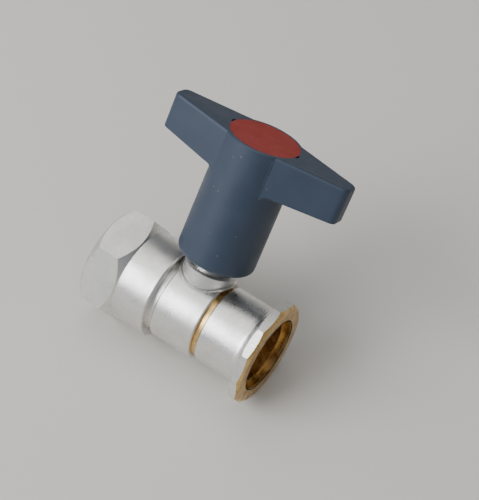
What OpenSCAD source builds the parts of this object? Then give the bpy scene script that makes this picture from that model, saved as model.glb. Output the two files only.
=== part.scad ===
// Pump ball valve: a plated brass ball valve with a female thread at its hex end, a flange for a
// union nut at the other end, and a plastic T-handle on a long hub. Millimetres.
// Each piece is drawn with the pipe along X and the stem along Z, around the centre of the ball.
// The whole valve is then laid down on one flat of its hex, as it comes to rest on a table, and
// moved along the pipe until the origin is where the female thread starts.

/* [Resting place] */
// How far the stem leans away from upright, so that a hex flat lies below the pipe
lean = 30; // [0:30:330]

/* [Hex end] */
// Distance from the stem to the end of the hex
hex_end_x = 41.3; // [39:0.1:60]
// Width of the hex across its flats
hex_af = 40; // [39.5:0.1:48]
// Length of the hex along the pipe
hex_len = 15.7; // [12:0.1:18]
// Length along the pipe that the turned bevels take off the hex corners
hex_bevel_len = 3.4; // [1:0.1:5]
// How far each turned bevel starts inside the hex flats
hex_bevel_inset = 0.7; // [0.2:0.1:1.5]

/* [Female thread] */
// Diameter of the threaded hole at its crests
thread_crest_d = 30.3; // [27:0.1:31]
// Diameter of the threaded hole at its roots
thread_root_d = 33.3; // [32:0.1:34]
// Depth of the threaded hole
thread_depth = 17; // [12:0.1:18]
// Width of the runout groove at the bottom of the thread
thread_runout_w = 2; // [1:0.1:3]

/* [Body barrel] */
// Diameter of the wide band beside the hex
band_d = 38.8; // [37.5:0.1:39.5]
// Distance from the stem to the inner end of the wide band
band_end_x = 11.3; // [10.8:0.1:13]
// Width of the groove beside the wide band
band_groove_w = 2.4; // [1:0.1:2.6]
// Diameter at the floor of that groove
band_groove_d = 31.8; // [30:0.1:33]
// Diameter of the barrel around the ball
barrel_d = 34.3; // [33.8:0.1:37]
// Distance from the stem to the open end of the barrel
barrel_end_x = 9.6; // [9:0.1:12]
// Diameter of the hollow around the ball
cavity_d = 30; // [29.2:0.1:30.6]
// Diameter of the waterway past the ball
waterway_d = 20.4; // [20:0.1:21]
// Bevel on the turned outer edges
edge_bevel = 0.5; // [0.2:0.1:0.8]

/* [Stem neck] */
// Diameter of the neck
neck_d = 21.2; // [20:0.1:24]
// Height of the neck's shoulder above the pipe axis
neck_h = 20.6; // [19.8:0.1:22]
// Bevel round the neck's shoulder
neck_bevel = 0.8; // [0.2:0.1:0.9]
// How far the pad under the neck stands out around it
pad_rim = 0.8; // [0.3:0.1:2]
// How far the pad stands up from the barrel
pad_h = 0.5; // [0.2:0.1:1]
// Diameter of the stuffing box inside the handle
box_d = 15; // [14.4:0.1:15]
// Height of the stuffing box above the pipe axis
box_h = 27; // [25:0.1:28]
// Diameter of the hole for packing and gland
packing_d = 12.4; // [12:0.1:12.8]
// Height of the packing's seat above the pipe axis
packing_z = 19.4; // [19:0.1:20]

/* [Flange end] */
// Distance from the stem to the flange's sealing face
face_x = 35.6; // [34:0.1:60]
// Diameter of the flange over its corners
flange_d = 44; // [42:0.1:46]
// Thickness of the flange
flange_t = 4.1; // [3:0.1:6]
// Number of flats round the flange
flange_sides = 12; // [6:1:12]
// Length along the pipe of the turned bevel at the sealing face
face_bevel_len = 1.2; // [0.5:0.1:1.5]
// Width of that bevel across the face
face_bevel_w = 1.7; // [0.5:0.1:2.5]
// Bevel on the back edge of the flange
back_bevel = 0.6; // [0.2:0.1:1]
// Radius of the hollow curve from the tail to the flange
flange_fillet = 4; // [1:0.1:4.4]
// Diameter of the tail between groove and flange
tail_d = 32.4; // [31.6:0.1:33.6]
// Width of the groove between barrel and tail
tail_groove_w = 2.1; // [1:0.1:3]
// Diameter at the floor of that groove
tail_groove_d = 30.4; // [30:0.1:31]
// Diameter of the bore inside the tail
tail_bore_d = 25.6; // [24:0.1:27]
// Diameter of the recess in the sealing face
recess_d = 30.2; // [28:0.1:33]
// Depth of the recess in the sealing face
recess_depth = 3; // [1:0.1:4]
// Diameter of the thread that joins body and tail
joint_d = 31; // [30.7:0.1:31.2]
// Distance from the stem to the start of that thread
joint_x = 5.6; // [5.6:0.1:6.4]

/* [Ball and seats] */
// Diameter of the ball
ball_d = 28.6; // [28.2:0.1:28.8]
// Diameter of the hole through the ball
ball_bore_d = 20; // [18:0.1:20]
// Width of the slot in the top of the ball
slot_w = 5.2; // [4:0.1:6]
// Length of the slot in the top of the ball
slot_len = 10.4; // [9:0.1:10.4]
// Height of the slot's floor above the pipe axis
slot_z = 11; // [10.9:0.1:11.8]
// Distance from the stem to the front of each seat ring
seat_x = 8.4; // [8.3:0.1:8.5]
// Width of each seat ring
seat_w = 3.6; // [3:0.1:3.8]
// Outer diameter of each seat ring
seat_d = 26.3; // [26:0.1:26.5]
// Thickness of the backing ring behind each seat
backing_t = 1.5; // [1:0.1:1.5]

/* [Stem] */
// Diameter of the stem
stem_d = 10; // [9.5:0.1:10.5]
// Diameter of the collar that holds the stem in
collar_d = 13.6; // [13:0.1:14]
// Height of the collar's underside above the pipe axis
collar_z = 15.8; // [15.8:0.1:16]
// Thickness of the collar
collar_t = 1.4; // [1:0.1:1.5]
// Thickness of the thrust washer above the collar
thrust_t = 0.6; // [0.4:0.1:0.7]
// Height of the shoulder that carries the handle
shoulder_z = 31; // [30.5:0.1:34]
// Width of the stem's square end
square_af = 8; // [7.5:0.1:8.5]
// Length of the stem's square end
square_len = 11.4; // [10:0.1:11.6]
// Thickness of the ring seal on the stem
stem_seal_t = 1.4; // [1:0.1:1.5]

/* [Gland and stop pin] */
// Height of the packing ring
packing_h = 2.2; // [1.5:0.1:3]
// How far the gland stands out of the stuffing box
gland_head_h = 1.6; // [1:0.1:2]
// Width of the key slot across the gland
gland_slot_w = 1.6; // [1:0.1:2]
// Diameter of the stop pin
pin_d = 2; // [1.6:0.1:2]
// Distance from the stem's axis to the stop pin
pin_r = 8.7; // [8.6:0.1:8.8]
// Direction of the stop pin around the stem
pin_angle = 70; // [60:1:120]
// Depth of the stop pin in the neck
pin_depth = 3; // [2:0.1:3.4]
// Height of the stop pin above the neck
pin_h = 8.6; // [6:0.1:9]

/* [Handle] */
// Height of the handle's flat top above the pipe axis
top_z = 76.5; // [68:0.5:110]
// Height of the hub's lower rim above the pipe axis
hub_z = 24; // [23:0.1:26]
// Diameter of the hub at its lower rim
hub_d = 31.4; // [30.8:0.1:34]
// Diameter of the hub at its top
hub_top_d = 30.9; // [30.6:0.1:34]
// Wall of the hub
hub_wall = 2.7; // [2:0.1:3]
// Radius round the hub's lower rim
hub_rim_r = 2; // [0.5:0.1:2]
// Distance from the stem to each wing's tip
wing_reach = 38.6; // [30:0.1:60]
// Thickness of each wing at its tip
wing_tip_t = 9.8; // [8:0.1:14]
// Thickness that the wings' sides would have at the stem's axis
wing_root_t = 28.2; // [22:0.1:30]
// Height of each wing at its tip
wing_h = 14.3; // [10:0.1:20]
// How much deeper each wing is at the hub
wing_slope = 1.3; // [0:0.1:3]
// Radius of the corners at each wing's tip
wing_corner_r = 3; // [1:0.1:4.5]
// Rounding of the edge round the handle's top
wing_edge = 1; // [0.3:0.1:1.5]
// Radius of the hollow curves between each wing and the hub
wing_fillet = 2; // [1:0.1:4]
// Thickness of the floor that the handle screw clamps
floor_t = 4; // [2:0.1:6]
// Diameter of the socket round the stem's square end
socket_d = 16; // [14:0.1:17]
// Thickness of each stop rib inside the hub
rib_t = 2.4; // [1.5:0.1:3]
// Height of the stop ribs' lower edge above the pipe axis
rib_z = 26; // [25:0.1:28]

/* [Cap and screw] */
// Diameter of the cap on the hub
cap_d = 28; // [27:0.1:28.2]
// Thickness of the cap
cap_t = 1.7; // [1:0.1:2.5]
// Length of the cap's clip ring
clip_h = 6; // [3:0.1:8]
// Wall of the cap's clip ring
clip_wall = 1.2; // [0.8:0.1:2]
// Width of each notch for prising the cap out
notch_w = 3; // [2:0.1:4]
// Depth of each notch for prising the cap out
notch_depth = 1.6; // [0.5:0.1:1.7]
// Diameter of the handle screw
screw_d = 5; // [4:0.1:5]
// Length of the handle screw below its head
screw_len = 14; // [12:0.5:16]
// Diameter of the screw's head
screw_head_d = 8.5; // [8:0.1:9.5]
// Height of the screw's head
screw_head_h = 5; // [3:0.1:6]
// Width of the hex socket in the screw's head
screw_key_af = 4; // [3:0.1:5]
// Outer diameter of the plain washer
washer_d = 15; // [12:0.1:18]
// Thickness of the plain washer
washer_t = 1.2; // [0.8:0.1:2]
// Outer diameter of the spring washer
spring_washer_d = 9.2; // [8:0.1:10]
// Thickness of the spring washer
spring_washer_t = 1.4; // [1:0.1:2]
// Width of the cut through the spring washer
spring_washer_cut = 1; // [0.5:0.1:2]

/* [Clearances] */
// Radial clearance where one piece turns in another
turning_gap = 0.06; // [0.02:0.01:0.1]
// Radial clearance between pieces that are screwed or pushed together
fitting_gap = 0.05; // [0.02:0.01:0.1]
// Gap between the stop pin and a stop rib at each end of the travel
stop_gap = 0.15; // [0.1:0.05:0.5]
// Gap between parts that pass each other freely
free_gap = 0.3; // [0.2:0.05:0.4]

/* [Hidden] */
$fn = 96;
quarter = 90;
// Cuts run this far past the faces that they open
past = 1;
// Steps in each rounded edge
round_steps = 5;

hex_inner_x = hex_end_x - hex_len;
hex_corner_d = hex_af / cos(30);
hex_bevel_d = hex_af - 2 * hex_bevel_inset;
thread_end_x = hex_end_x - thread_depth;
thread_mouth_bevel = (thread_root_d - thread_crest_d) / 2 + 0.3;
pocket_x = seat_x + seat_w + backing_t;
pocket_d = seat_d + 2 * fitting_gap;
barrel_start_x = band_end_x - band_groove_w;
stem_bore_d = stem_d + 2 * turning_gap;
collar_bore_d = collar_d + 2 * free_gap;
collar_bore_z = collar_z + collar_t + thrust_t + fitting_gap;
gland_z = packing_z + packing_h;
gland_d = packing_d - 2 * fitting_gap;
gland_top_z = box_h + gland_head_h;
seal_z = (gland_z + gland_top_z) / 2;
seal_groove_w = stem_seal_t + 0.4;
seal_outer_d = stem_bore_d - 0.04;
seal_inner_d = seal_outer_d - 2 * stem_seal_t;
flange_back_x = face_x - flange_t;
tail_x = barrel_end_x + tail_groove_w;
tail_cone_x = pocket_x + 2.5;
tail_cone_len = tail_bore_d / 2 - waterway_d / 2;
ball_room_d = ball_d + 2 * free_gap;
tang_z = slot_z + 0.1;
tang_w = slot_w - 0.2;
tang_len = slot_len - 0.4;
stem_top_z = shoulder_z + square_len;
floor_top_z = stem_top_z + 0.6;
floor_z = floor_top_z - floor_t;
hub_inner_d = hub_d - 2 * hub_wall;
well_d = cap_d - 2.4;
clip_d = well_d - 2 * fitting_gap;
washer_z = floor_top_z;
spring_washer_z = washer_z + washer_t;
screw_head_z = spring_washer_z + spring_washer_t;
wing_underside_z = top_z - wing_h - wing_slope;
wing_side_slope = (wing_root_t - wing_tip_t) / 2 / wing_reach;
// Turn between the stop pin and the middle of a rib that rests against it
stop_turn = asin((pin_d / 2 + rib_t / 2 + stop_gap) / pin_r);

// Points of an arc, for rounding a corner of an outline
function arc(centre, r, from, to, steps = round_steps) = [
    for (i = [0 : steps])
        let (a = from + (to - from) * i / steps)
            [centre.x + r * cos(a), centre.y + r * sin(a)]
];

// Lays the valve down on a hex flat, with the start of the female thread at the origin
module lying() {
    translate([hex_end_x - thread_mouth_bevel, 0, 0]) rotate([-lean, 0, 0]) children();
}

// Stands a shape that is drawn along Z on the pipe axis, with its top towards the flange
module along_pipe() {
    rotate([0, 90, 0]) children();
}

// A ring or disc on the Z axis, from one height to another
module ring(outer_d, inner_d, z0, z1) {
    difference() {
        translate([0, 0, z0]) cylinder(d = outer_d, h = z1 - z0);
        translate([0, 0, z0 - past]) cylinder(d = inner_d, h = z1 - z0 + 2 * past);
    }
}

// A straight hole along Z, from one height to another
module hole(d, z0, z1) {
    translate([0, 0, z0]) cylinder(d = d, h = z1 - z0);
}

// A bar with flat sides along Z, bevelled at both ends by turning; the cutting cones run on past
// the corners
module bevelled_bar(corner_d, sides, z0, z1, low_d, low_len, high_d, high_len, turn = 0) {
    outer = corner_d / 2 + past;
    low_rise = low_len * (outer - low_d / 2) / (corner_d / 2 - low_d / 2);
    high_rise = high_len * (outer - high_d / 2) / (corner_d / 2 - high_d / 2);
    intersection() {
        translate([0, 0, z0]) rotate([0, 0, turn]) cylinder(d = corner_d, h = z1 - z0, $fn = sides);
        rotate_extrude() polygon([
            [0, z0 - past], [low_d / 2, z0 - past], [low_d / 2, z0], [outer, z0 + low_rise],
            [outer, z1 - high_rise], [high_d / 2, z1], [high_d / 2, z1 + past], [0, z1 + past]
        ]);
    }
}

// The turned outside of the body from the hex to its open end
module body_outline() {
    rotate_extrude() polygon([
        [0, -hex_inner_x - past],
        [band_d / 2, -hex_inner_x - past],
        [band_d / 2, -band_end_x - edge_bevel],
        [band_d / 2 - edge_bevel, -band_end_x],
        [band_groove_d / 2, -band_end_x],
        [band_groove_d / 2, -barrel_start_x],
        [barrel_d / 2 - edge_bevel, -barrel_start_x],
        [barrel_d / 2, -barrel_start_x + edge_bevel],
        [barrel_d / 2, barrel_end_x - edge_bevel],
        [barrel_d / 2 - edge_bevel, barrel_end_x],
        [0, barrel_end_x]
    ]);
}

// The neck, the pad at its foot and the stuffing box above it
module neck_outline() {
    rotate_extrude() polygon([
        [0, 0], [neck_d / 2, 0], [neck_d / 2, neck_h - neck_bevel],
        [neck_d / 2 - neck_bevel, neck_h], [box_d / 2, neck_h],
        [box_d / 2, box_h], [0, box_h]
    ]);
    intersection() {
        cylinder(d = neck_d + 2 * pad_rim, h = neck_h);
        translate([-neck_d, 0, 0]) along_pipe() cylinder(d = barrel_d + 2 * pad_h, h = 2 * neck_d);
    }
}

// The threaded hole, the waterway, the seat pocket and the hollow for the ball
module body_waterway() {
    mouth_d = thread_crest_d + 2 * thread_mouth_bevel;
    hole(thread_crest_d, -hex_end_x - past, -thread_end_x);
    hole(thread_root_d + 0.4, -thread_end_x - thread_runout_w, -thread_end_x);
    translate([0, 0, -hex_end_x]) cylinder(d1 = mouth_d, d2 = thread_crest_d, h = thread_mouth_bevel);
    hole(waterway_d, -thread_end_x - past, -seat_x);
    hole(pocket_d, -pocket_x, -seat_x + past);
    hole(cavity_d, -seat_x, barrel_end_x + past);
    hole(joint_d, joint_x, barrel_end_x + past);
    // Frees the tail where the neck and its pad stand out past the barrel
    hole(barrel_d - 2 * edge_bevel, barrel_end_x, barrel_end_x + neck_d);
}

// The way of the stem up through the neck and the stuffing box
module body_stem_way() {
    hole(collar_bore_d, 0, collar_bore_z);
    hole(stem_bore_d, collar_bore_z - past, packing_z + past);
    hole(packing_d, packing_z, box_h + past);
}

module place_pin() {
    rotate([0, 0, pin_angle]) translate([pin_r, 0, neck_h - pin_depth]) children();
}

module valve_body() {
    color("silver") lying() difference() {
        union() {
            along_pipe() {
                bevelled_bar(
                    hex_corner_d, 6, -hex_end_x, -hex_inner_x,
                    hex_bevel_d, hex_bevel_len, hex_bevel_d, hex_bevel_len
                );
                body_outline();
            }
            neck_outline();
        }
        along_pipe() body_waterway();
        body_stem_way();
        place_pin() cylinder(d = pin_d + 2 * fitting_gap, h = pin_depth + past);
    }
}

// The turned outside of the tail, with a hollow curve up to the flange
module tail_outline() {
    thread_d = joint_d - 2 * fitting_gap;
    curve = arc([tail_d / 2 + flange_fillet, flange_back_x - flange_fillet], flange_fillet, 180, 90);
    rotate_extrude() polygon(concat(
        [
            [0, joint_x],
            [thread_d / 2, joint_x],
            [thread_d / 2, barrel_end_x],
            [tail_groove_d / 2, barrel_end_x],
            [tail_groove_d / 2, tail_x],
            [tail_d / 2 - edge_bevel, tail_x],
            [tail_d / 2, tail_x + edge_bevel]
        ],
        curve,
        [[tail_d / 2 + flange_fillet, flange_back_x + back_bevel], [0, flange_back_x + back_bevel]]
    ));
}

// The room for the ball and its seat, the bore and the recess in the sealing face
module tail_waterway() {
    hole(ball_room_d, joint_x - past, seat_x);
    hole(pocket_d, seat_x - past, pocket_x);
    hole(waterway_d, pocket_x - past, tail_cone_x + past);
    translate([0, 0, tail_cone_x])
        cylinder(d1 = waterway_d, d2 = tail_bore_d, h = tail_cone_len);
    hole(tail_bore_d, tail_cone_x + tail_cone_len, face_x + past);
    hole(recess_d, face_x - recess_depth, face_x + past);
    translate([0, 0, face_x - edge_bevel])
        cylinder(d1 = recess_d, d2 = recess_d + 2 * edge_bevel, h = edge_bevel);
}

module flange_tailpiece() {
    color("silver") lying() along_pipe() difference() {
        union() {
            tail_outline();
            bevelled_bar(
                flange_d, flange_sides, flange_back_x, face_x,
                flange_d - 2 * back_bevel, back_bevel, flange_d - 2 * face_bevel_w, face_bevel_len,
                turn = 180 / flange_sides
            );
        }
        tail_waterway();
    }
}

module ball() {
    color("gainsboro") lying() difference() {
        sphere(d = ball_d);
        translate([-ball_d, 0, 0]) along_pipe() cylinder(d = ball_bore_d, h = 2 * ball_d);
        translate([-slot_w / 2, -slot_len / 2, slot_z]) cube([slot_w, slot_len, ball_d]);
    }
}

// A seat ring for the flange side; side = -1 turns it to the thread side
module seat_ring(side) {
    color("white") lying() mirror([side < 0 ? 1 : 0, 0, 0]) along_pipe() difference() {
        ring(seat_d, waterway_d + 0.2, seat_x, seat_x + seat_w);
        sphere(d = ball_d + 2 * turning_gap);
    }
}

module seat_ring_thread_side() {
    seat_ring(-1);
}

module seat_ring_flange_side() {
    seat_ring(1);
}

// A round ring that presses a seat towards the ball
module backing_ring(side) {
    middle_d = (pocket_d + waterway_d) / 2;
    color("black") lying() mirror([side < 0 ? 1 : 0, 0, 0]) along_pipe()
        translate([0, 0, seat_x + seat_w + backing_t / 2])
            rotate_extrude() translate([middle_d / 2, 0]) circle(d = backing_t, $fn = 32);
}

module backing_ring_thread_side() {
    backing_ring(-1);
}

module backing_ring_flange_side() {
    backing_ring(1);
}

module stem() {
    color("goldenrod") lying() difference() {
        union() {
            intersection() {
                translate([-tang_w / 2, -tang_len / 2, tang_z])
                    cube([tang_w, tang_len, collar_z + collar_t - tang_z]);
                cylinder(d = tang_len, h = collar_z + collar_t);
            }
            hole(collar_d, collar_z, collar_z + collar_t);
            hole(stem_d, collar_z, shoulder_z);
            intersection() {
                translate([-square_af / 2, -square_af / 2, shoulder_z - past])
                    cube([square_af, square_af, square_len + past]);
                hole(stem_d, 0, stem_top_z);
            }
        }
        ring(stem_d + past, seal_inner_d - 0.04, seal_z - seal_groove_w / 2, seal_z + seal_groove_w / 2);
        hole(screw_d + 2 * fitting_gap, stem_top_z - screw_len, stem_top_z + past);
    }
}

module thrust_washer() {
    color("white") lying() ring(collar_d, stem_bore_d, collar_z + collar_t, collar_bore_z);
}

module stem_packing() {
    color("white") lying() ring(gland_d, stem_bore_d, packing_z, gland_z);
}

module gland() {
    color("goldenrod") lying() difference() {
        union() {
            hole(gland_d, gland_z, gland_top_z);
            hole(box_d - 0.6, box_h, gland_top_z);
        }
        hole(stem_bore_d, gland_z - past, gland_top_z + past);
        translate([-box_d, -gland_slot_w / 2, gland_top_z - gland_head_h / 2])
            cube([2 * box_d, gland_slot_w, gland_head_h]);
    }
}

module stem_ring_seal() {
    middle_d = (seal_outer_d + seal_inner_d) / 2;
    color("black") lying() translate([0, 0, seal_z])
        rotate_extrude() translate([middle_d / 2, 0]) circle(d = stem_seal_t, $fn = 32);
}

module stop_pin() {
    color("silver") lying() place_pin() cylinder(d = pin_d, h = pin_depth + pin_h);
}

// Outline of one wing seen from above, kept inside its edge by a margin
module wing_plan(margin) {
    reach = wing_reach - margin;
    tip = wing_tip_t / 2 - margin;
    root = wing_root_t / 2 - margin;
    r = wing_corner_r - margin / 2;
    lean_in = atan(wing_side_slope);
    polygon(concat(
        [[0, -root]],
        arc([reach - r, -tip + r], r, -quarter + lean_in, 0),
        arc([reach - r, tip - r], r, 0, quarter - lean_in),
        [[0, root]]
    ));
}

// Outline of one wing seen from the side
module wing_side() {
    low = top_z - wing_h;
    polygon(concat(
        [[0, top_z], [wing_reach, top_z]],
        arc([wing_reach - edge_bevel, low + edge_bevel], edge_bevel, 0, -quarter),
        [[hub_d / 2, wing_underside_z], [0, wing_underside_z]]
    ));
}

// Fills the corner between the hub and the wing's side with a hollow curve, seen from above
module side_fillet() {
    lean_in = atan(wing_side_slope);
    out = [sin(lean_in), cos(lean_in)];
    along = [cos(lean_in), -sin(lean_in)];
    rise = wing_root_t / 2 * cos(lean_in) + wing_fillet;
    reach = hub_top_d / 2 + wing_fillet;
    centre = out * rise + along * sqrt(reach * reach - rise * rise);
    difference() {
        polygon([centre / 2, centre * (hub_top_d / 2) / reach, centre, centre - out * wing_fillet]);
        translate(centre) circle(r = wing_fillet);
    }
}

// Fills the corner under the wing with a hollow curve that runs round the hub
module under_fillet() {
    foot = [hub_d / 2 + wing_fillet, wing_underside_z - wing_fillet];
    rotate_extrude() polygon(concat(
        [[hub_d / 2 - past, wing_underside_z + past], [hub_d / 2 - past, foot.y]],
        arc(foot, wing_fillet, 180, quarter),
        [[foot.x, wing_underside_z + past]]
    ));
}

module wing() {
    intersection() {
        hull() for (a = [0 : 30 : quarter])
            linear_extrude(top_z - wing_edge * (1 - sin(a))) wing_plan(wing_edge * (1 - cos(a)));
        translate([0, wing_root_t, 0]) rotate([90, 0, 0]) linear_extrude(2 * wing_root_t) wing_side();
    }
    intersection() {
        under_fillet();
        linear_extrude(top_z) wing_plan(0);
    }
    for (side = [0, 1])
        mirror([0, side, 0]) translate([0, 0, wing_underside_z])
            linear_extrude(top_z - wing_edge - wing_underside_z) side_fillet();
}

// The turned outside of the hub, rounded at its lower rim and its top
module hub_outline() {
    rotate_extrude() polygon(concat(
        [[0, hub_z]],
        arc([hub_d / 2 - hub_rim_r, hub_z + hub_rim_r], hub_rim_r, -quarter, 0),
        [[hub_top_d / 2, top_z - 0.4], [hub_top_d / 2 - 0.4, top_z], [0, top_z]]
    ));
}

// The hollow of the hub around the neck, and the well under the cap
module hub_hollows() {
    difference() {
        hole(hub_inner_d, hub_z - past, floor_z);
        hole(socket_d, shoulder_z, floor_z);
        for (a = [pin_angle - stop_turn, pin_angle + quarter + stop_turn])
            rotate([0, 0, a]) translate([0, -rib_t / 2, rib_z])
                difference() {
                    cube([hub_d, rib_t, top_z]);
                    translate([-past, -past, -past]) cube([box_d / 2 + free_gap + past, hub_d, shoulder_z - rib_z + past]);
                }
    }
    hole(well_d, floor_top_z, top_z);
    hole(cap_d + 2 * fitting_gap, top_z - cap_t, top_z + past);
}

module t_handle() {
    color("midnightblue") lying() difference() {
        union() {
            hub_outline();
            wing();
            mirror([1, 0, 0]) wing();
        }
        hub_hollows();
        intersection() {
            translate([-square_af / 2 - fitting_gap, -square_af / 2 - fitting_gap, shoulder_z - past])
                cube([square_af + 2 * fitting_gap, square_af + 2 * fitting_gap, square_len + 2 * past]);
            hole(stem_d + 2 * fitting_gap, shoulder_z - past, floor_top_z + past);
        }
        for (side = [-1, 1])
            translate([side * cap_d / 2 - notch_w / 4, -notch_w / 2, top_z - notch_depth])
                cube([notch_w / 2, notch_w, notch_depth + past]);
    }
}

module handle_screw() {
    head_top_z = screw_head_z + screw_head_h;
    color("silver") lying() difference() {
        union() {
            hole(screw_d, screw_head_z - screw_len, screw_head_z + past);
            hole(screw_head_d, screw_head_z, head_top_z);
        }
        translate([0, 0, head_top_z - screw_head_h / 2])
            cylinder(d = screw_key_af / cos(30), h = screw_head_h, $fn = 6);
    }
}

module plain_washer() {
    color("silver") lying() ring(washer_d, screw_d + 0.4, washer_z, washer_z + washer_t);
}

module spring_washer() {
    color("dimgray") lying() difference() {
        ring(spring_washer_d, screw_d + 0.2, spring_washer_z, screw_head_z);
        translate([0, -spring_washer_cut / 2, spring_washer_z - past])
            cube([spring_washer_d, spring_washer_cut, spring_washer_t + 2 * past]);
    }
}

module cap() {
    color("darkred") lying() difference() {
        union() {
            hole(cap_d, top_z - cap_t, top_z);
            ring(clip_d, clip_d - 2 * clip_wall, top_z - cap_t - clip_h, top_z - cap_t / 2);
        }
        for (a = [45 : quarter : 315])
            rotate([0, 0, a]) translate([0, -1, top_z - cap_t - clip_h - past])
                cube([cap_d, 2, clip_h]);
    }
}

valve_body();
flange_tailpiece();
ball();
seat_ring_thread_side();
seat_ring_flange_side();
backing_ring_thread_side();
backing_ring_flange_side();
stem();
thrust_washer();
stem_packing();
gland();
stem_ring_seal();
stop_pin();
t_handle();
handle_screw();
plain_washer();
spring_washer();
cap();
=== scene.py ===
"""Pump ball valve: plated brass body and tail, bare brass sealing face, blue T-handle, red cap."""

import math

import bmesh
import bpy
from mathutils import Matrix, Vector


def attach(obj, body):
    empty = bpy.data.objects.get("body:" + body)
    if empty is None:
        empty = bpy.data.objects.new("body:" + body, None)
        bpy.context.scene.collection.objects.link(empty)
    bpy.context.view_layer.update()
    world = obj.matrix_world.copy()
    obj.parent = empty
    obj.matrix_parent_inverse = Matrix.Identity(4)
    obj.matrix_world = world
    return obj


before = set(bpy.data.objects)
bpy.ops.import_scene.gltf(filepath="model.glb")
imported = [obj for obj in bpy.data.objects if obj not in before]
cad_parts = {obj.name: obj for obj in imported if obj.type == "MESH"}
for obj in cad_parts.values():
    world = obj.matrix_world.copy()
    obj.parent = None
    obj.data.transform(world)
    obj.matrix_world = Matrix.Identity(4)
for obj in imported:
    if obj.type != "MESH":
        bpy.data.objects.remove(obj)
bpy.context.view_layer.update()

MM = 0.001

# Places along the pipe and sizes of the CAD part, in metres
STEM_X = 39.5 * MM
HEX_END_X = -1.8 * MM
FACE_X = 75.1 * MM
FACE_BEVEL_START_X = 73.9 * MM
FLANGE_R = 22.0 * MM
FACE_R = 20.3 * MM
THREAD_ROOT_R = 16.65 * MM
THREAD_LENGTH = 13.2 * MM
FLOOR_Z = -21.26 * MM
LEAN = math.radians(30)

# A 1 inch pipe thread has 11 turns to the inch
THREAD_PITCH = 2.309 * MM
THREAD_DEPTH = 1.45 * MM
STEPS_A_TURN = 96


# ---- shader helpers ----


def add(tree, kind, inputs=None, **settings):
    """A new node of that kind, with its settings, and its inputs set or linked by name or number."""
    made = tree.nodes.new("ShaderNode" + kind)
    for name, value in settings.items():
        setattr(made, name, value)
    for name, value in (inputs or {}).items():
        if isinstance(value, bpy.types.NodeSocket):
            tree.links.new(value, made.inputs[name])
        else:
            made.inputs[name].default_value = value
    return made


def calc(tree, operation, *values):
    """The result of a Math node."""
    node = add(tree, "Math", dict(enumerate(values)), operation=operation)
    return node.outputs[0]


def ramp(tree, value, low, high, out_low=0.0, out_high=1.0):
    """A value mapped smoothly from one range to another, and held at its ends."""
    node = add(
        tree,
        "MapRange",
        {"Value": value, "From Min": low, "From Max": high, "To Min": out_low, "To Max": out_high},
        interpolation_type="SMOOTHSTEP",
    )
    return node.outputs[0]


def blend_colours(tree, share, first, second):
    """A colour between two, by a share from 0 to 1."""
    node = add(tree, "Mix", {0: share}, data_type="RGBA")
    for socket, colour in ((node.inputs[6], first), (node.inputs[7], second)):
        if isinstance(colour, bpy.types.NodeSocket):
            tree.links.new(colour, socket)
        else:
            socket.default_value = (*colour, 1)
    return node.outputs[2]


def noise(tree, place, scale, detail=3.0, roughness=0.5):
    """Soft noise at a number of waves per metre."""
    node = add(
        tree,
        "TexNoise",
        {"Vector": place, "Scale": scale, "Detail": detail, "Roughness": roughness},
    )
    return node.outputs[0]


def specks(tree, place, scale, size):
    """Small round spots, 1 in their middle, where a scattered few of the cells have one."""
    cells = add(tree, "TexVoronoi", {"Vector": place, "Scale": scale})
    chosen = add(tree, "SeparateColor", {0: cells.outputs["Color"]})
    near = ramp(tree, cells.outputs["Distance"], 0.0, size, 1.0, 0.0)
    return calc(tree, "MULTIPLY", near, calc(tree, "GREATER_THAN", chosen.outputs[0], 0.8))


def start_material(name, metallic=0.0, roughness=0.5):
    """A new material: its tree, its surface shader and its object coordinates."""
    material = bpy.data.materials.new(name)
    material.use_nodes = True
    tree = material.node_tree
    shader = tree.nodes["Principled BSDF"]
    shader.inputs["Metallic"].default_value = metallic
    shader.inputs["Roughness"].default_value = roughness
    place = add(tree, "TexCoord").outputs["Object"]
    return material, tree, shader, place


def set_bump(tree, shader, height, distance, strength=1.0):
    """Raises the surface by a height that is 0 to 1, times a distance in metres."""
    bump = add(tree, "Bump", {"Strength": strength, "Distance": distance, "Height": height})
    tree.links.new(bump.outputs[0], shader.inputs["Normal"])


def pipe_coordinates(tree, place):
    """The distance along the pipe, and the distance out from its axis."""
    parts = add(tree, "SeparateXYZ", {0: place})
    x, y, z = parts.outputs
    out = calc(tree, "SQRT", calc(tree, "ADD", calc(tree, "MULTIPLY", y, y), calc(tree, "MULTIPLY", z, z)))
    return x, out


def turned_lines(tree, x, out, scale):
    """Fine tool marks that run round the pipe axis."""
    across = add(tree, "CombineXYZ", {0: x, 1: out, 2: 0.0}).outputs[0]
    return noise(tree, across, scale, 4.0, 0.6)


# ---- finishes ----

NICKEL = (0.76, 0.745, 0.715)
NICKEL_DULL = (0.60, 0.585, 0.555)
BRASS = (0.70, 0.47, 0.19)
BRASS_DARK = (0.40, 0.23, 0.08)


def plated_brass():
    """Nickel plating over a fine blasted surface, with small dents and dull patches."""
    material, tree, shader, place = start_material("plated_brass", 1.0, 0.3)
    grain = noise(tree, place, 5200.0, 2.0, 0.6)
    patches = noise(tree, place, 140.0, 4.0, 0.6)
    dents = specks(tree, place, 620.0, 0.3)
    dull = ramp(tree, patches, 0.42, 0.72)
    colour = blend_colours(tree, calc(tree, "MULTIPLY", dull, 0.55), NICKEL, NICKEL_DULL)
    tree.links.new(colour, shader.inputs["Base Color"])
    tree.links.new(ramp(tree, patches, 0.3, 0.75, 0.26, 0.4), shader.inputs["Roughness"])
    height = calc(tree, "SUBTRACT", calc(tree, "MULTIPLY", grain, 1.0), calc(tree, "MULTIPLY", dents, 0.8))
    set_bump(tree, shader, height, 0.05 * MM)
    return material


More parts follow.
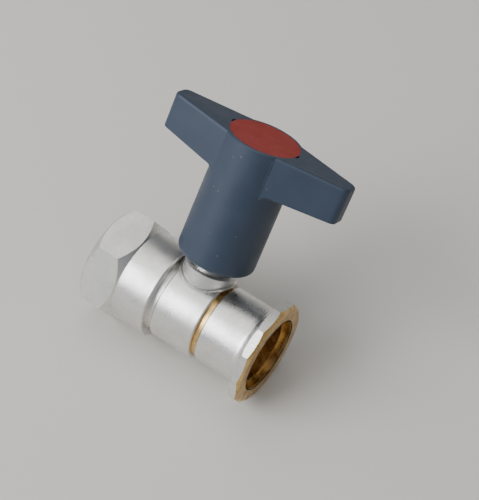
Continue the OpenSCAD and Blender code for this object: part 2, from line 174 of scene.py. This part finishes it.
def plated_flange():
    """The tail's plating, turned away to bare brass on the sealing face, its bevel and the bore."""
    material, tree, shader, place = start_material("plated_flange", 1.0, 0.3)
    x, out = pipe_coordinates(tree, place)
    slope = (FLANGE_R - FACE_R) / (FACE_X - FACE_BEVEL_START_X)
    bevel_r = calc(tree, "SUBTRACT", FLANGE_R + slope * FACE_BEVEL_START_X, calc(tree, "MULTIPLY", x, slope))
    off_bevel = calc(tree, "ABSOLUTE", calc(tree, "SUBTRACT", out, bevel_r))
    on_bevel = calc(
        tree,
        "MULTIPLY",
        calc(tree, "LESS_THAN", off_bevel, 0.06 * MM),
        calc(tree, "GREATER_THAN", x, FACE_BEVEL_START_X - 0.2 * MM),
    )
    inside = calc(tree, "LESS_THAN", out, 15.7 * MM)
    bare = calc(
        tree, "MAXIMUM", calc(tree, "MAXIMUM", on_bevel, inside), calc(tree, "GREATER_THAN", x, FACE_X - 0.05 * MM)
    )
    grain = noise(tree, place, 5200.0, 2.0, 0.6)
    patches = noise(tree, place, 140.0, 4.0, 0.6)
    lines = turned_lines(tree, x, out, 3800.0)
    stain = ramp(tree, noise(tree, place, 210.0, 4.0, 0.65), 0.42, 0.68)
    nickel = blend_colours(
        tree, calc(tree, "MULTIPLY", ramp(tree, patches, 0.42, 0.72), 0.55), NICKEL, NICKEL_DULL
    )
    brass = blend_colours(tree, stain, BRASS, BRASS_DARK)
    tree.links.new(blend_colours(tree, bare, nickel, brass), shader.inputs["Base Color"])
    dull = ramp(tree, patches, 0.3, 0.75, 0.24, 0.38)
    tree.links.new(dull, shader.inputs["Roughness"])
    height = blend_values(tree, bare, grain, lines)
    set_bump(tree, shader, height, 0.05 * MM)
    return material


def blend_values(tree, share, first, second):
    """A value between two, by a share from 0 to 1."""
    node = add(tree, "Mix", {0: share, 2: first, 3: second}, data_type="FLOAT")
    return node.outputs[0]


def moulded_plastic(name, colour, worn, roughness):
    """A moulded plastic with a fine grain, slight clouding and a few pale specks of dust."""
    material, tree, shader, place = start_material(name, 0.0, roughness)
    grain = noise(tree, place, 3400.0, 3.0, 0.6)
    clouds = noise(tree, place, 90.0, 4.0, 0.6)
    dust = specks(tree, place, 330.0, 0.16)
    share = calc(tree, "MULTIPLY", ramp(tree, clouds, 0.4, 0.75), 0.5)
    base = blend_colours(tree, share, colour, worn)
    dusty = blend_colours(tree, calc(tree, "MULTIPLY", dust, 0.5), base, (0.25, 0.25, 0.22))
    tree.links.new(dusty, shader.inputs["Base Color"])
    tree.links.new(
        ramp(tree, clouds, 0.3, 0.7, roughness - 0.05, roughness + 0.07), shader.inputs["Roughness"]
    )
    set_bump(tree, shader, grain, 0.04 * MM)
    return material


def turned_metal(name, colour, dark, roughness, scale=3000.0):
    """A machined metal piece, with fine lines and slight stains."""
    material, tree, shader, place = start_material(name, 1.0, roughness)
    stains = noise(tree, place, 260.0, 4.0, 0.6)
    stretched = add(tree, "Mapping", {"Vector": place, "Scale": (1.0, 1.0, 1.0)}).outputs[0]
    lines = noise(tree, stretched, scale, 3.0, 0.6)
    share = calc(tree, "MULTIPLY", ramp(tree, stains, 0.4, 0.7), 0.6)
    tree.links.new(blend_colours(tree, share, colour, dark), shader.inputs["Base Color"])
    tree.links.new(
        ramp(tree, stains, 0.3, 0.7, roughness - 0.04, roughness + 0.08), shader.inputs["Roughness"]
    )
    set_bump(tree, shader, lines, 0.02 * MM)
    return material


def soft_seal(name, colour, shade, roughness):
    """Rubber or white sealing plastic, with faint clouding."""
    material, tree, shader, place = start_material(name, 0.0, roughness)
    clouds = noise(tree, place, 400.0, 4.0, 0.6)
    colour_out = blend_colours(tree, ramp(tree, clouds, 0.35, 0.7), colour, shade)
    tree.links.new(colour_out, shader.inputs["Base Color"])
    set_bump(tree, shader, noise(tree, place, 2600.0), 0.02 * MM)
    return material


PLATED = plated_brass()
FLANGE = plated_flange()
BARE_BRASS = turned_metal("bare_brass", BRASS, BRASS_DARK, 0.32)
CHROMED = turned_metal("chromed_ball", (0.82, 0.82, 0.82), (0.68, 0.68, 0.67), 0.12)
STEEL = turned_metal("zinc_plated_steel", (0.62, 0.62, 0.60), (0.46, 0.46, 0.44), 0.32)
WHITE_SEAL = soft_seal("white_sealing_plastic", (0.78, 0.78, 0.75), (0.68, 0.68, 0.64), 0.42)
BLACK_RUBBER = soft_seal("black_rubber", (0.02, 0.02, 0.02), (0.035, 0.035, 0.034), 0.6)
BLUE_PLASTIC = moulded_plastic("handle_plastic", (0.022, 0.036, 0.062), (0.030, 0.046, 0.074), 0.46)
RED_PLASTIC = moulded_plastic("cap_plastic", (0.26, 0.012, 0.006), (0.22, 0.010, 0.006), 0.5)

FINISHES = {
    "valve_body": PLATED,
    "flange_tailpiece": FLANGE,
    "ball": CHROMED,
    "seat_ring_thread_side": WHITE_SEAL,
    "seat_ring_flange_side": WHITE_SEAL,
    "backing_ring_thread_side": BLACK_RUBBER,
    "backing_ring_flange_side": BLACK_RUBBER,
    "stem": BARE_BRASS,
    "thrust_washer": WHITE_SEAL,
    "stem_packing": WHITE_SEAL,
    "gland": BARE_BRASS,
    "stem_ring_seal": BLACK_RUBBER,
    "stop_pin": STEEL,
    "t_handle": BLUE_PLASTIC,
    "handle_screw": STEEL,
    "plain_washer": STEEL,
    "spring_washer": STEEL,
    "cap": RED_PLASTIC,
}


def dress(node, material):
    """Gives a CAD node its finish."""
    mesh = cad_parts[node].data
    mesh.materials.clear()
    mesh.materials.append(material)


for node, material in FINISHES.items():
    dress(node, material)


# ---- new pieces ----


def finish_piece(name, mesh, material, body):
    """Makes an object of a bmesh, smooth where its faces nearly agree, and joins it to its body."""
    data = bpy.data.meshes.new(name)
    bmesh.ops.recalc_face_normals(mesh, faces=mesh.faces)
    mesh.to_mesh(data)
    mesh.free()
    data.materials.append(material)
    data.shade_smooth()
    data.set_sharp_from_angle(angle=math.radians(35))
    piece = bpy.data.objects.new(name, data)
    bpy.context.scene.collection.objects.link(piece)
    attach(piece, body)
    return piece


def female_thread():
    """The ridge of the pipe thread, wound round the wall of the hex end's hole."""
    ridge = bmesh.new()
    buried = 0.1 * MM
    half_root = 0.97 * MM
    half_crest = 0.2 * MM
    section = [
        (-half_root, THREAD_ROOT_R + buried),
        (half_root, THREAD_ROOT_R + buried),
        (half_crest, THREAD_ROOT_R - THREAD_DEPTH),
        (-half_crest, THREAD_ROOT_R - THREAD_DEPTH),
    ]
    start_x = 1.1 * MM
    turns = (THREAD_LENGTH - 2.2 * MM) / THREAD_PITCH
    corners = [ridge.verts.new((start_x + x, 0, -out)) for x, out in section]
    end = ridge.faces.new(corners)
    bmesh.ops.spin(
        ridge,
        geom=[end],
        cent=(0, 0, 0),
        axis=(1, 0, 0),
        dvec=(THREAD_PITCH / STEPS_A_TURN, 0, 0),
        angle=turns * math.tau,
        steps=round(turns * STEPS_A_TURN),
        use_merge=False,
    )
    finish_piece("female_thread", ridge, PLATED, "valve")


female_thread()


# ---- table, light and camera ----


def table_top():
    """A plain pale floor under the valve."""
    top = bmesh.new()
    bmesh.ops.create_grid(top, x_segments=1, y_segments=1, size=3.0)
    bmesh.ops.translate(top, verts=top.verts, vec=(0, 0, FLOOR_Z))
    data = bpy.data.meshes.new("floor")
    top.to_mesh(data)
    top.free()
    material, tree, shader, place = start_material("floor", 0.0, 0.75)
    shader.inputs["Base Color"].default_value = (0.60, 0.57, 0.52, 1)
    data.materials.append(material)
    floor = bpy.data.objects.new("floor", data)
    bpy.context.scene.collection.objects.link(floor)


def soft_light(name, place, aim, width, height, power, colour):
    """A large soft lamp at a place, turned to face a point."""
    lamp = bpy.data.lights.new(name, "AREA")
    lamp.shape = "RECTANGLE"
    lamp.size, lamp.size_y = width, height
    lamp.energy = power
    lamp.color = colour
    holder = bpy.data.objects.new(name, lamp)
    holder.location = place
    holder.rotation_euler = (Vector(aim) - Vector(place)).to_track_quat("-Z", "Y").to_euler()
    bpy.context.scene.collection.objects.link(holder)


def sky():
    """Soft light from all round, brighter from the front."""
    world = bpy.data.worlds.new("sky")
    world.use_nodes = True
    tree = world.node_tree
    background = tree.nodes["Background"]
    direction = add(tree, "TexCoord").outputs["Generated"]
    parts = add(tree, "SeparateXYZ", {0: direction})
    front = ramp(tree, parts.outputs[1], -0.9, 0.6, 1.0, 0.25)
    colour = blend_colours(tree, front, (0.10, 0.10, 0.11), (0.62, 0.66, 0.72))
    tree.links.new(colour, background.inputs[0])
    background.inputs[1].default_value = 0.75
    bpy.context.scene.world = world


def photo_camera():
    """The camera at the place and with the lens that were recovered from the photograph."""
    lens = bpy.data.cameras.new("camera")
    lens.sensor_fit = "HORIZONTAL"
    lens.sensor_width = 36.0
    lens.lens = 36.0 * 1478.1 / 479
    lens.clip_start, lens.clip_end = 0.01, 20.0
    camera = bpy.data.objects.new("camera", lens)
    ball = Vector((STEM_X, 0, 0))
    place = ball + Vector((170.955, -279.315, 474.519)) * MM
    right = Vector((0.81584, 0.57265, 0.08047))
    down = Vector((0.49953, -0.62777, -0.59697))
    ahead = Vector((-0.29134, 0.52723, -0.79821))
    turn = Matrix((right, -down, -ahead)).transposed()
    camera.matrix_world = Matrix.Translation(place) @ turn.to_4x4()
    bpy.context.scene.collection.objects.link(camera)
    bpy.context.scene.camera = camera


table_top()
VALVE = (STEM_X, 15 * MM, 20 * MM)
soft_light("window", (-0.55, -0.75, 0.75), VALVE, 0.8, 0.8, 16.0, (0.95, 0.98, 1.0))
soft_light("ceiling", (-0.2, 0.25, 1.2), VALVE, 1.4, 1.4, 9.0, (1.0, 0.99, 0.97))
sky()
photo_camera()
